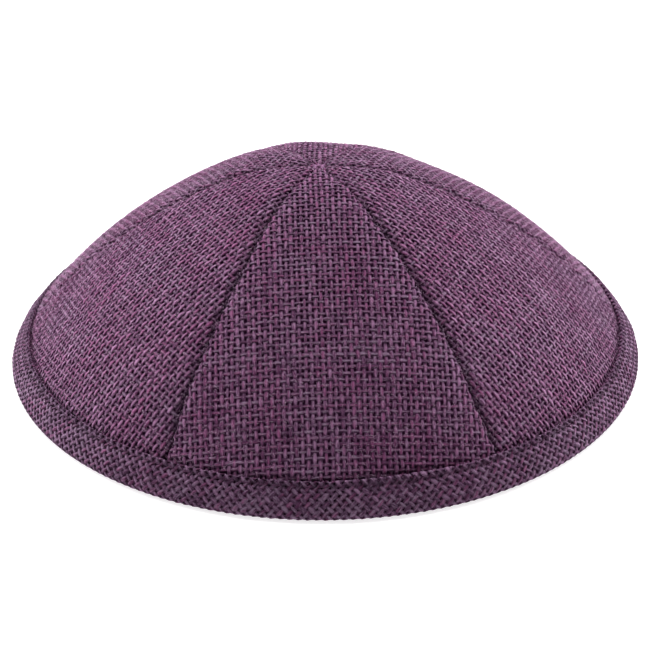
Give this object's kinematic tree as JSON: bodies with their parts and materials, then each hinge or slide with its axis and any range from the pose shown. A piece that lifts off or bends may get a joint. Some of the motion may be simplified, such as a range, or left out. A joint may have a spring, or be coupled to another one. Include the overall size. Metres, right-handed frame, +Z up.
{
  "type": "kippah",
  "caption": "Shallow domed skullcap sewn from wedge-shaped cloth gores, its round edge bound with a folded bias strip.",
  "frame": {"origin": "centre of the rim, on the plane that the rim rests on", "axes": "+Z up through the crown, -Y towards the middle of the front gore, +X to the right as seen from the front"},
  "size_m": [0.17, 0.17, 0.0538],
  "materials": {
    "gore_cloth": "coarse plain weave, mauve melange",
    "binding_cloth": "the same weave cut on the bias"
  },
  "bodies": {
    "root": {"panel_front": "gore_cloth", "panel_front_right": "gore_cloth", "panel_back_right": "gore_cloth", "panel_back": "gore_cloth", "panel_back_left": "gore_cloth", "panel_front_left": "gore_cloth", "rim_binding": "binding_cloth"}
  },
  "joints": []
}
